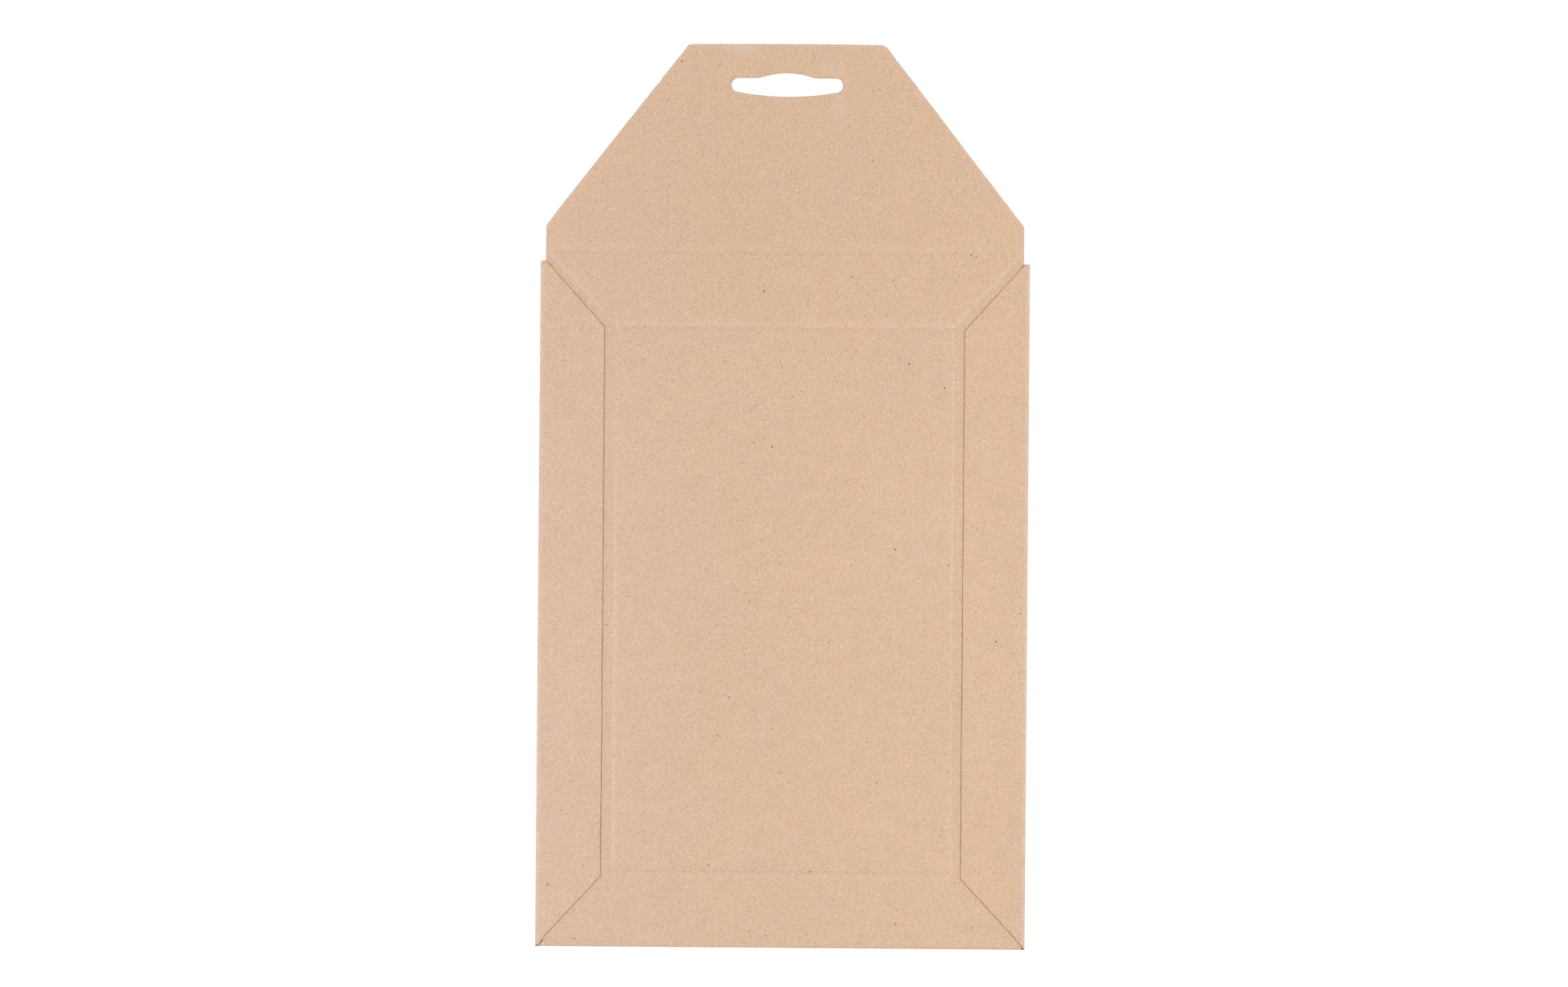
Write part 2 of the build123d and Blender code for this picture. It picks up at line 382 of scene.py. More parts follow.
def score_height(x, y):
    z = np.zeros_like(x)
    for s in SCORES:
        off, beyond, _ = off_line(x, y, s["p"], s["q"])
        for at, half, h in s["form"]:
            r = np.sqrt((off - at) ** 2 + beyond ** 2) / half
            z = np.where(np.abs(h) * np.clip(1 - r, 0, 1) > np.abs(z), h * (0.5 + 0.5 * np.cos(math.pi * np.clip(r, 0, 1))), z)
    return z


lift_l, lift_r = Wander(14, 70), Wander(14, 70)
wave_x, wave_y = Wander(60, 160), Wander(70, 220)
bow_l, bow_r = Wander(25, 120), Wander(25, 120)


def back_lift(x, y):
    """How far the back panel and closure flap stand above the flat, at a folded place."""
    # the scored panel stands a little proud of its frame
    inside = np.minimum(np.minimum(SCORE_X - np.abs(x), y - SCORE_LOW), SCORE_HIGH - y)
    plateau = 0.10 * (1 - np.exp(-np.clip(inside, 0, None) / 1.6))
    # and the pocket springs open a little towards its mouth
    across = np.cos(np.clip(x / 67.0, -1, 1) * math.pi / 2) ** 2
    spring = 0.30 * across * smooth(y, 20, 255) * (1 - 0.6 * smooth(y, 262, 330))
    # the closure flap turns up very slightly along its score, and waves a little
    beyond = np.clip(y - SCORE_FLAP, 0, None)
    flap = 0.0035 * beyond + 0.06 * wave_x(x) * smooth(y, 264, 320)
    return plateau + spring + flap


def fold(a, b, h):
    """A place on the unfolded board to its place when folded, in millimetres. h is the height over the middle of
    the board, up towards the face that ends up outside."""
    a, b, h = np.broadcast_arrays(np.asarray(a, float), np.asarray(b, float), np.asarray(h, float))
    side = np.where(a >= 0, 1.0, -1.0)
    aa = np.abs(a)
    is_back = (b < CORNER_Y - 0.2) | ((b < R_BOTTOM) & (aa < (BACK_LOW + SX) / 2))

    # front panel
    x = a.copy(); y = b.copy(); z = T / 2 - h
    # side folds
    m = (~is_back) & (aa > SX)
    phi = np.clip((aa - SX) / (R_SIDE - T / 2), 0, math.pi)
    r = R_SIDE - T / 2 + h
    x = np.where(m, side * (SX + r * np.sin(phi)), x)
    z = np.where(m, R_SIDE - r * np.cos(phi), z)
    # side flaps
    m2 = (~is_back) & (aa > S0)
    fx = SX - (aa - S0)
    edge = np.clip((fx - FLAP_EDGE) / 6.0, 0, 1)
    rise = np.where(a > 0, 0.020 + 0.020 * lift_r(b), 0.020 + 0.020 * lift_l(b))
    rise = np.clip(rise, 0.0, None) * (1 - edge) ** 2
    wander = np.where(a > 0, 0.030 * bow_r(b), 0.035 * bow_l(b)) * (1 - smooth(fx, FLAP_EDGE, 84.0))
    x = np.where(m2, side * (fx + wander), x)
    z = np.where(m2, SIDE_Z + T / 2 + h + rise, z)
    # bottom fold
    phi = np.clip((R_BOTTOM - b) / (R_BOTTOM - T / 2), 0, math.pi)
    r = R_BOTTOM - T / 2 + h
    y = np.where(is_back, R_BOTTOM - r * np.sin(phi), y)
    z = np.where(is_back, R_BOTTOM - r * np.cos(phi), z)
    # back panel and closure flap
    m4 = is_back & (b < B0)
    by = R_BOTTOM + (B0 - b)
    y = np.where(m4, by, y)
    z = np.where(m4, BACK_Z + T / 2 + h + score_height(a, by) + back_lift(a, by) * smooth(by, 1, 12), z)
    # the side folds aren't dead straight
    outer = smooth(np.abs(x), 84, 91) * np.where(is_back, 0.0, 1.0)
    t = np.clip(y / MOUTH_Y, 0, 1)
    x = x - side * outer * (0.0 - 0.03 * np.sin(math.pi * t) + np.where(a > 0, -0.01 * (2 * t - 1), 0.015 * (2 * t - 1)))
    return np.stack([x, y - HALF, z], -1)


# ============================================================================
# Points inside the outline: even over the flats, close together across folds,
# scores and edges.
# ============================================================================
def inside_polygon(px, py, poly):
    """Even-odd test of many points against one closed outline."""
    x0, y0 = poly[:, 0], poly[:, 1]
    x1, y1 = np.roll(x0, -1), np.roll(y0, -1)
    hit = np.zeros(len(px), bool)
    for i in range(0, len(px), 4000):
        X, Y = px[i:i + 4000, None], py[i:i + 4000, None]
        cross = (y0 > Y) != (y1 > Y)
        with np.errstate(divide="ignore", invalid="ignore"):
            xi = (x1 - x0) * (Y - y0) / (y1 - y0) + x0
        hit[i:i + 4000] = (np.sum(cross & (X < xi), 1) % 2).astype(bool)
    return hit


def inner_points():
    """Groups of (points, how far each keeps from every point taken before it)."""
    groups = []

    def grid(a0, a1, b0, b1, step, jitter=0.12):
        na, nb = max(1, round((a1 - a0) / step)), max(1, round((b1 - b0) / step))
        A, B = np.meshgrid(np.linspace(a0, a1, na + 1), np.linspace(b0, b1, nb + 1))
        pts = np.stack([A.ravel(), B.ravel()], 1)
        return pts + rng.uniform(-jitter, jitter, pts.shape) * step

    # inside every cut edge
    for inner, cut, n in loops:
        groups.append((inner - n * 0.08, 0.065))
        groups.append((cut - n * 0.60, 0.30))
        groups.append((cut - n * 1.20, 0.50))
    # scores
    fine = []
    for s in SCORES:
        p, q = np.array(s["p"], float), np.array(s["q"], float)
        length = np.hypot(*(q - p))
        d = (q - p) / length
        n = np.array([-d[1], d[0]])
        for off in (0, -0.25, 0.25, -0.5, 0.5, -0.8, 0.8, -1.15, 1.15, -1.5, 1.5, -2.0, 2.0, -2.8):
            step = 1.35 if abs(off) < 1.3 else 1.9
            for at in np.arange(0.2, length - 0.1, step):
                fine.append(on_back(*(p + d * at + n * off)))
    groups.append((np.array(fine), 0.20))
    # side folds
    pts = []
    for off in [-0.42, -0.08] + [ARC_S * k / 11 for k in range(12)] + [ARC_S + 0.08, ARC_S + 0.42]:
        for b in [0.30, 0.60, *np.arange(0.9, MOUTH_Y - 0.5, 1.9), MOUTH_Y - 1.2, MOUTH_Y - 0.7, MOUTH_Y - 0.4]:
            pts += [(SX + off, b), (-SX - off, b)]
    groups.append((np.array(pts), 0.07))
    # bottom fold
    rows = [R_BOTTOM + 0.36, R_BOTTOM + 0.07] + [R_BOTTOM - ARC_B * k / 9 for k in range(10)] + [B0 - 0.07, B0 - 0.36]
    ends = (91.1, 90.8, 90.45, 90.1, 89.7, 89.3)
    groups.append((np.array([(a, b) for b in rows for a in [*np.arange(-90.6, 90.7, 1.7), *ends, *(-e for e in ends)]]), 0.06))
    # free edges of the side flaps
    pts = [on_flap(s * (FLAP_EDGE + off), y) for off in (1.9, 3.4) for y in np.arange(FLAP_LOW - 6, FLAP_HIGH + 8, 1.7) for s in (-1, 1)]
    groups.append((np.array(pts), 0.5))
    # flats
    groups.append((grid(-SX + 2, SX - 2, 2.5, MOUTH_Y - 2, 5.0), 1.8))
    groups.append((grid(BACK_L + 1.2, BACK_R - 1.2, on_back(0, LENGTH - 1.2)[1], on_back(0, 3)[1], 2.9), 1.2))
    for s in (-1, 1):
        lo, hi = sorted((s * (S0 + 1.5), s * (S0 + SX - FLAP_EDGE - 4)))
        groups.append((grid(lo, hi, 2, MOUTH_Y - 1.2, 2.8), 1.1))
    return groups


def gather():
    kept = [tuple(p) for p in np.concatenate([l[0] for l in loops])]
    for pts, away in inner_points():
        ok = inside_polygon(pts[:, 0], pts[:, 1], loops[0][0]) & ~inside_polygon(pts[:, 0], pts[:, 1], loops[1][0])
        pts = pts[ok]
        tree = KDTree(len(kept))
        for i, p in enumerate(kept):
            tree.insert((p[0], p[1], 0), i)
        tree.balance()
        cell, new = {}, []
        for p in pts:
            if tree.find((p[0], p[1], 0))[2] < away:
                continue
            key = (int(p[0] // away), int(p[1] // away))
            near = any(
                (p[0] - q[0]) ** 2 + (p[1] - q[1]) ** 2 < away * away
                for i in (-1, 0, 1) for j in (-1, 0, 1) for q in cell.get((key[0] + i, key[1] + j), ())
            )
            if not near:
                cell.setdefault(key, []).append(p)
                new.append(tuple(p))
        kept += new
    return np.array(kept)


points = gather()
n_outer, n_slot = len(loops[0][0]), len(loops[1][0])
edges = [(i, (i + 1) % n_outer) for i in range(n_outer)]
edges += [(n_outer + i, n_outer + (i + 1) % n_slot) for i in range(n_slot)]
v_out, _, f_out, v_orig, _, _ = delaunay_2d_cdt([Vector(p) for p in points], edges, [], 0, 1e-6)
flat = np.array([tuple(v) for v in v_out])
tris = np.array([f for f in f_out if len(f) == 3])
mid = flat[tris].mean(1)
tris = tris[inside_polygon(mid[:, 0], mid[:, 1], loops[0][0]) & ~inside_polygon(mid[:, 0], mid[:, 1], loops[1][0])]
p0, p1, p2 = flat[tris[:, 0]], flat[tris[:, 1]], flat[tris[:, 2]]
turn = (p1[:, 0] - p0[:, 0]) * (p2[:, 1] - p0[:, 1]) - (p1[:, 1] - p0[:, 1]) * (p2[:, 0] - p0[:, 0])
tris[turn < 0] = tris[turn < 0][:, [0, 2, 1]]
used = np.unique(tris)
renumber = -np.ones(len(flat), int)
renumber[used] = np.arange(len(used))
place_of = {}
for new_i, olds in enumerate(v_orig):
    for o in olds:
        place_of[o] = new_i
tris = renumber[tris]
flat = flat[used]
N = len(flat)
ring_ids, first = [], 0
for inner, cut, n in loops:
    ring_ids.append(np.array([renumber[place_of[first + i]] for i in range(len(inner))]))
    first += len(inner)

# ============================================================================
# The board: an outer and an inner face, with worn cut edges between them.
# ============================================================================
verts = [fold(flat[:, 0], flat[:, 1], T / 2), fold(flat[:, 0], flat[:, 1], -T / 2)]
sheet = [np.column_stack([flat, np.full(N, T / 2)]), np.column_stack([flat, np.full(N, -T / 2)])]
count = 2 * N
faces_outer = [tuple(t) for t in tris]
faces_inner = [(t[0] + N, t[2] + N, t[1] + N) for t in tris]
faces_edge = []
PROFILE = [(0.045, T / 2 - 0.028), (0.0, T / 2 - 0.11), (-0.012, 0.06), (-0.004, -0.09), (0.0, -(T / 2 - 0.12)), (0.05, -(T / 2 - 0.03))]
for (inner, cut, n), ids in zip(loops, ring_ids):
    m = len(ids)
    rough = Wander(1.2, 3.5)
    s = lengths_along(cut)
    calm = near_fold_end(cut)
    rows = [ids]
    for k, (back_off, h) in enumerate(PROFILE):
        jit = 0.012 * rough(s + 37.0 * k)
        jit[calm] = 0
        at = cut - n * (back_off + jit)[:, None]
        verts.append(fold(at[:, 0], at[:, 1], h))
        sheet.append(np.column_stack([at, np.full(m, h)]))
        rows.append(np.arange(count, count + m))
        count += m
    rows.append(ids + N)
    for r0, r1 in zip(rows[:-1], rows[1:]):
        for i in range(m):
            j = (i + 1) % m
            faces_edge.append((r0[i], r1[i], r1[j], r0[j]))
co = np.concatenate(verts) * 0.001
# nothing stands out of the frame's box
low, high = np.array(cad_low, float), np.array(cad_high, float)
top = high[2] - 0.00008
co[:, 2] = np.where(co[:, 2] > top, top + 0.00008 * np.tanh((co[:, 2] - top) / 0.00008), co[:, 2])
co = np.clip(co, low, high)
sheet = np.concatenate(sheet)

# ---- wear and painted light and shade that follow the folds, scores and edges, as two numbers at each point ---
along_noise = [Wander(2.0, 14.0) for _ in SCORES]
fold_noise = Wander(3, 30)


def wear_and_painted_light(a, b, h):
    """How much paler (pale) and how much darker (dark) the board is at a place of the sheet: painted light and painted
    shade along the scores and folds, partly rubbed wear from handling.
    """
    pale, dark = np.zeros_like(a), np.zeros_like(a)
    outer = h > 0
    on_m = outer & (b < B0)
    x, y = a, R_BOTTOM + (B0 - b)
    for s, wobble in zip(SCORES, along_noise):
        off, beyond, along = off_line(x, y, s["p"], s["q"])
        near = np.exp(-(beyond / 1.2) ** 2) * on_m * s["fade"](x, y)
        unevenness = np.clip(1 + 0.28 * wobble(along), 0.2, None)
        for at, w_in, w_out, k in s["pale"]:
            pale += k * near * unevenness * np.exp(-((off - at) / np.where(off < at, w_in, w_out)) ** 2)
        for at, w, k in s["dark"]:
            dark += k * near * unevenness * np.exp(-((off - at) / w) ** 2)
    # side folds: painted light along the outside of the bend, partly rubbed pale
    aa = np.abs(a)
    side_fold = (~on_m) & outer & (b > CORNER_Y - 0.1)
    bend = np.exp(-((aa - (S0 - 0.75)) / 0.72) ** 2)
    pale += np.where(side_fold, 0.44 * bend * np.clip(1 + 0.20 * fold_noise(b), 0.3, None), 0)
    # bottom fold: painted shade along the outside of the bend, which turns away from the light
    bottom = outer & (aa < BACK_LOW + 0.05) & (b < R_BOTTOM + 0.6) & (b > B0 - 1.0)
    bend = np.exp(-((b - (B0 + 0.35)) / 0.55) ** 2)
    dark += np.where(bottom, 0.03 * bend * np.clip(1 + 0.25 * fold_noise(a + 500), 0.3, None), 0)
    return pale, dark


pale, dark = wear_and_painted_light(sheet[:, 0], sheet[:, 1], sheet[:, 2])
pale[2 * N:] *= 0.5
# the side flaps' cut edges are the darkest: crushed fibres, and painted shade for the dark line where they stand over
# the back panel
on_side_flap = smooth(np.abs(sheet[:, 0]), S0 + 0.1, S0 + 0.9) * (sheet[:, 1] > CORNER_Y - 0.2)
# the bottom corners are made darker
tip = np.hypot(np.abs(sheet[:, 0]) - SX - 0.5, sheet[:, 1] - 0.05)
dark += 0.55 * (1 - smooth(tip, 0.35, 1.15))
on_ledge = smooth(sheet[2 * N:, 1], MOUTH_Y - 0.9, MOUTH_Y - 0.4)
on_ledge = on_ledge * (sheet[2 * N:, 0] > 0)
dark[2 * N:] += (0.40 - 0.26 * on_ledge) * on_side_flap[2 * N:] * smooth(sheet[2 * N:, 2], -0.2, 0.1)
# the closure flap's cut edges are a little grey on the cut and paler beside it
on_tip = sheet[2 * N:, 1] < on_back(0, SCORE_FLAP)[1]
dark[2 * N:] += 0.16 * on_tip
rim = KDTree(len(loops[0][1]))
for i, q in enumerate(loops[0][1]):
    rim.insert((q[0], q[1], 0), i)
rim.balance()
rim_noise = Wander(3, 25)
for i in np.nonzero((sheet[:, 1] < on_back(0, SCORE_FLAP - 2)[1]) & (sheet[:, 2] > 0))[0]:
    gap = rim.find((sheet[i, 0], sheet[i, 1], 0))[2]
    if gap < 2:
        pale[i] += (0.13 if sheet[i, 1] > on_back(0, 338)[1] else 0.07) * math.exp(-(gap / 0.75) ** 2) * (1 + 0.25 * float(rim_noise(sheet[i, 1]))) * (1.35 if sheet[i, 0] > 0 else 1.0)

mesh = bpy.data.meshes.new("folded_board")
faces = faces_outer + faces_inner + faces_edge
mesh.from_pydata([tuple(p) for p in co], [], [tuple(int(i) for i in f) for f in faces])
mesh.polygons.foreach_set("material_index", np.array([0] * len(faces_outer) + [1] * len(faces_inner) + [2] * len(faces_edge), np.int32))
mesh.polygons.foreach_set("use_smooth", np.ones(len(faces), bool))
at = mesh.attributes.new("sheet", "FLOAT_VECTOR", "POINT")
at.data.foreach_set("vector", sheet.astype(np.float32).ravel())
for name, values in (("pale", pale), ("dark", dark)):
    at = mesh.attributes.new(name, "FLOAT", "POINT")
    at.data.foreach_set("value", values.astype(np.float32))
mesh.update()
board = bpy.data.objects.new("folded_board", mesh)
bpy.context.scene.collection.objects.link(board)

bm = bmesh.new()
bm.from_mesh(mesh)
open_edges = sum(len(e.link_faces) != 2 for e in bm.edges)
print("board: open edges", open_edges, "volume", round(bm.calc_volume() * 1e9, 1), "mm3, triangles", sum(len(f.verts) - 2 for f in bm.faces))
if bm.calc_volume() < 0:
    bmesh.ops.reverse_faces(bm, faces=bm.faces)
    bm.to_mesh(mesh)
bm.free()

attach(board, "root")
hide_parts("folded_blank")


# ============================================================================
# Materials. Everything is laid out on the unfolded sheet, in millimetres, so the
# fibres run on round the folds.
# ============================================================================
class Tree:
    """Short names for making one material's nodes."""

    def __init__(self, name, roughness, specular, dims="2D"):
        self.dims = dims
        self.material = bpy.data.materials.new(name)
        self.material.use_nodes = True
        self.tree = self.material.node_tree
        self.shader = self.tree.nodes["Principled BSDF"]
        self.shader.inputs["Roughness"].default_value = roughness
        self.shader.inputs["Specular IOR Level"].default_value = specular
        self.shader.inputs["IOR"].default_value = 1.45

    def node(self, kind, inputs=(), **settings):
        n = self.tree.nodes.new(kind)
        for k, v in settings.items():
            setattr(n, k, v)
        for k, v in dict(inputs).items():
            if isinstance(v, bpy.types.NodeSocket):
                self.tree.links.new(v, n.inputs[k])
            else:
                n.inputs[k].default_value = v
        return n

    def attribute(self, name, out):
        return self.node("ShaderNodeAttribute", attribute_type="GEOMETRY", attribute_name=name).outputs[out]

    def math(self, op, a, b=0.0, c=0.0):
        return self.node("ShaderNodeMath", {0: a, 1: b, 2: c}, operation=op).outputs[0]

    def scaled(self, v, by, shift=(0, 0, 0)):
        return self.node("ShaderNodeVectorMath", {0: v, 1: by, 2: shift}, operation="MULTIPLY_ADD").outputs[0]

    def turned(self, v, degrees):
        return self.node("ShaderNodeVectorRotate", {"Vector": v, "Angle": math.radians(degrees)}, rotation_type="Z_AXIS").outputs[0]

    def noise(self, v, scale=1.0, detail=2.0, rough=0.5, distort=0.0):
        n = self.node("ShaderNodeTexNoise", {"Vector": v, "Scale": scale, "Detail": detail, "Roughness": rough, "Distortion": distort}, noise_dimensions=self.dims)
        return n.outputs[0]

    def cells(self, v, scale=1.0, spread=1.0):
        n = self.node("ShaderNodeTexVoronoi", {"Vector": v, "Scale": scale, "Randomness": spread}, voronoi_dimensions=self.dims)
        return n.outputs["Distance"], n.outputs["Color"]

    def step(self, v, lo, hi, out_lo=0.0, out_hi=1.0, kind="SMOOTHSTEP"):
        return self.node("ShaderNodeMapRange", {"Value": v, 1: lo, 2: hi, 3: out_lo, 4: out_hi}, interpolation_type=kind).outputs[0]

    def channel(self, colour, i):
        return self.node("ShaderNodeSeparateColor", {0: colour}).outputs[i]

    def blend(self, factor, a, b):
        return self.node("ShaderNodeMix", {0: factor, 6: a, 7: b}, data_type="RGBA").outputs[2]

    def add(self, *values):
        total = values[0]
        for v in values[1:]:
            total = self.math("ADD", total, v)
        return total


def centred(t, v, gain):
    """gain * (v - 0.5)"""
    return t.math("MULTIPLY_ADD", v, gain, -0.5 * gain)


def streaks(t, p, turn, length, width, share, seed):
    """Short straight fibres in one direction: 1 on them, 0 elsewhere."""
    v = t.scaled(t.turned(p, turn), (1 / length, 1 / width, 1 / width), (seed, seed * 1.7, 0))
    d, colour = t.cells(v)
    chosen = t.step(t.channel(colour, 0), 1 - share - 0.01, 1 - share + 0.01, kind="LINEAR")
    return t.math("MULTIPLY", chosen, t.step(d, 0.42, 0.16))


def dots(t, p, pitch, radius, share, seed):
    """Scattered small round specks, of uneven size."""
    d, colour = t.cells(t.scaled(p, (1 / pitch,) * 3, (seed, seed * 0.6, seed * 1.3)))
    size = t.math("MULTIPLY_ADD", t.channel(colour, 1), 0.8 * radius / pitch, 0.6 * radius / pitch)
    near = t.step(t.math("DIVIDE", d, size), 1.15, 0.55)
    chosen = t.step(t.channel(colour, 0), 1 - share - 0.01, 1 - share + 0.01, kind="LINEAR")
    return t.math("MULTIPLY", chosen, near)


def spot(t, p, x, y, rx, ry, soft=0.5, where=on_back):
    """A soft oval of the back panel, or of a side flap, about (x, y)."""
    a, b = where(x, y)
    v = t.scaled(p, (1 / rx, 1 / ry, 0), (-a / rx, -b / ry, 0))
    r = t.node("ShaderNodeVectorMath", {0: v}, operation="LENGTH").outputs["Value"]
    return t.step(r, 1 + soft, 1 - soft)


def board_material(name, base, grain=1.0, outside=False, cut=False):
    t = Tree(name, 0.92, 0.22, "3D" if cut else "2D")
    p = t.attribute("sheet", "Vector")
    if cut:
        # plies seen on edge: long across the thickness's layers, short through them
        p_fine = t.scaled(p, (1.6, 1.6, 9.0))
        fine = t.noise(p_fine, 1.0, 3.0, 0.6)
        ply = t.noise(t.scaled(p, (0.35, 0.35, 14.0)), 1.0, 2.0, 0.6)
        tone = t.add(centred(t, fine, 0.50), centred(t, ply, 0.34), centred(t, t.noise(p, 0.25, 2.0), 0.10))
    else:
        # fibres: fine mottling, a little longer across the sheet than up it
        fine = t.noise(t.scaled(p, (1.38, 2.45, 2.0)), 1.0, 2.0, 0.55)
        mid = t.noise(t.scaled(p, (0.75, 0.95, 1.0), (31, 7, 3)), 1.0, 2.0, 0.5)
        cloud = t.noise(t.scaled(p, (0.16, 0.18, 0.2), (5, 19, 0)), 1.0, 3.0, 0.55)
        slow = t.noise(t.scaled(p, (0.018, 0.016, 0.02), (2, 11, 0)), 1.0, 2.0, 0.5)
        tone = t.add(centred(t, fine, 0.535 * grain), centred(t, mid, 0.195 * grain), centred(t, cloud, 0.088), centred(t, slow, 0.042))
        for k, (turn, share, amount) in enumerate(((8, 0.10, -0.13), (67, 0.07, -0.12), (128, 0.07, -0.12), (-20, 0.08, 0.11), (40, 0.06, 0.10), (95, 0.05, 0.10))):
            f = streaks(t, p, turn, 1.5 + 0.2 * k, 0.42, share, 3.1 * k + 1.3)
            tone = t.math("MULTIPLY_ADD", f, amount * grain, tone)
    pale_at = t.attribute("pale", "Fac")
    dark_at = t.attribute("dark", "Fac")
    # the dark attribute: painted shade beside the scores, along the bottom fold and at the side flaps' cut edges, with
    # darker corner tips and grey cut edges
    tone = t.math("SUBTRACT", tone, dark_at)
    # hue: a little pinker and a little yellower by turns
    hue = t.add(centred(t, t.noise(t.scaled(p, (0.34, 0.34, 0.4), (71, 3, 9)), 1.0, 2.0, 0.5), 1.3),
                centred(t, t.noise(t.scaled(p, (0.09, 0.08, 0.1), (17, 5, 4)), 1.0, 2.0, 0.5), 2.2),
                centred(t, t.noise(t.scaled(p, (0.03, 0.025, 0.03), (9, 41, 2)), 1.0, 1.0, 0.5), 1.8))
    if outside:
        # a painted line of shade on the back panel, close against the side flaps' edges, where the crevice under them
        # is in shadow
        axes = t.node("ShaderNodeSeparateXYZ", {0: p})
        across, down = t.math("ABSOLUTE", axes.outputs[0]), axes.outputs[1]
        beside = t.math("SUBTRACT", FLAP_EDGE, across)
        for ends in (((FLAP_EDGE, FLAP_LOW), (SX, mitre_y(SX))), ((FLAP_TOP_IN, MOUTH_Y - 0.2), (FLAP_EDGE, FLAP_HIGH))):
            (ax, ay), (bx, by) = on_back(*ends[0]), on_back(*ends[1])
            length = math.hypot(bx - ax, by - ay)
            nx, ny = (by - ay) / length, -(bx - ax) / length
            if nx * (80 - ax) + ny * (on_back(0, 130)[1] - ay) > 0:   # the side away from the flap's middle counts up
                nx, ny = -nx, -ny
            moved = t.math("ADD", down, t.step(axes.outputs[0], -1, 1, 0.12, -0.27, kind="LINEAR")) if ends[1][1] > 200 else down
            gap = t.math("MULTIPLY_ADD", across, nx, t.math("MULTIPLY_ADD", moved, ny, -nx * ax - ny * ay))
            beside = t.math("MAXIMUM", beside, gap)
        near = t.math("MULTIPLY", t.math("LESS_THAN", down, B0), t.step(t.math("ABSOLUTE", beside), 0.34, 0.04, 0.0, 1.0))
        tone = t.math("MULTIPLY_ADD", near, -0.35, tone)
        # painted shade: the closure flap is a little deeper in tone than the pocket; painted light: the right of the
        # mailer a little brighter; and the left of the mailer paler and cooler
        place = t.node("ShaderNodeSeparateXYZ", {0: t.node("ShaderNodeTexCoord").outputs["Object"]})
        px, py = place.outputs[0], place.outputs[1]
        tone = t.add(tone, t.step(py, -0.02, 0.13, 0.004, -0.034), t.step(px, 0.0, 0.075, 0.0, 0.026, kind="LINEAR"))
        cool = t.math("MULTIPLY", t.step(px, -0.095, -0.020, 0.095, 0.0, kind="LINEAR"), t.step(py, -0.06, 0.09, 1.12, 0.45))
        cool = t.math("ADD", cool, t.step(px, 0.0, 0.095, 0.0, -0.020, kind="LINEAR"))
    # the board's darker bits are browner as well as darker
    red = t.math("MULTIPLY", t.math("MULTIPLY_ADD", tone, 0.87, 1.0), t.math("MULTIPLY_ADD", hue, 0.006, 1.0))
    green = t.math("MULTIPLY", t.math("MULTIPLY_ADD", tone, 1.02, 1.0), t.math("MULTIPLY_ADD", hue, 0.001, 1.0))
    blue = t.math("MULTIPLY", t.math("MULTIPLY_ADD", tone, 1.22, 1.0), t.math("MULTIPLY_ADD", hue, -0.022, 1.0))
    if outside:
        green = t.math("MULTIPLY", green, t.math("MULTIPLY_ADD", cool, 0.22, 1.0))
        blue = t.math("MULTIPLY", blue, t.math("ADD", cool, 1.0))
    factor = t.node("ShaderNodeCombineColor", {0: red, 1: green, 2: blue}).outputs[0]
    colour = t.node("ShaderNodeMix", {0: 1.0, 6: (*base, 1), 7: factor}, data_type="RGBA", blend_type="MULTIPLY", clamp_factor=False).outputs[2]

    def dab(where, shade, strength):
        nonlocal colour
        colour = t.blend(t.math("MULTIPLY", where, strength), colour, (*shade, 1))

    # sparse specks of darker and redder pulp, and a few pale ones
    if not cut:
        dab(dots(t, p, 3.4, 0.26, 0.16, 2.0), (0.30, 0.17, 0.09), 0.44)
        dab(dots(t, p, 11.0, 0.30, 0.10, 5.0), (0.16, 0.085, 0.045), 0.50)
        dab(dots(t, p, 5.0, 0.30, 0.10, 9.0), (0.92, 0.78, 0.64), 0.22)
        dab(streaks(t, p, 22, 2.6, 0.30, 0.012, 17.0), (0.20, 0.10, 0.05), 0.44)
        dab(streaks(t, p, 104, 2.2, 0.26, 0.010, 23.0), (0.42, 0.13, 0.07), 0.34)
        dab(streaks(t, p, 150, 3.0, 0.24, 0.010, 29.0), (0.98, 0.86, 0.74), 0.26)
    # painted light along the scores and the side folds, partly rubbed wear, with the closure flap's paler rim
    unevenness = t.step(t.noise(t.scaled(p, (0.9, 1.1, 1.0), (13, 2, 8)), 1.0, 3.0, 0.6), 0.30, 0.68, 0.55, 1.35)
    dab(t.math("MULTIPLY", pale_at, unevenness), (0.86, 0.71, 0.59), 1.0)
    if outside:
        # dried greyish marks: on the tip's edge, and about the right end of the hang slot
        patchy = t.step(t.noise(t.scaled(p, (0.45, 0.45, 1), (3, 8, 1)), 1.0, 4.0, 0.65), 0.30, 0.66, 0.45, 1.20)
        marks = [
            (-16.9, 340.6, 5.6, 2.7, 0.65, 0.46), (-15.5, 338.0, 4.0, 3.2, 0.7, 0.15),
            (18.0, 331.5, 4.0, 2.4, 0.7, 0.27), (15.4, 336.0, 1.9, 3.8, 0.7, 0.10), (22.3, 326.6, 1.3, 3.6, 0.7, 0.16),
            (19.9, 319.4, 2.5, 4.6, 0.7, 0.34), (20.0, 312.6, 2.2, 4.0, 0.7, 0.12),
        ]
        for x, y, rx, ry, soft, strength in marks:
            dab(t.math("MULTIPLY", spot(t, p, x, y, rx, ry, soft), patchy), (0.668, 0.548, 0.478), strength)
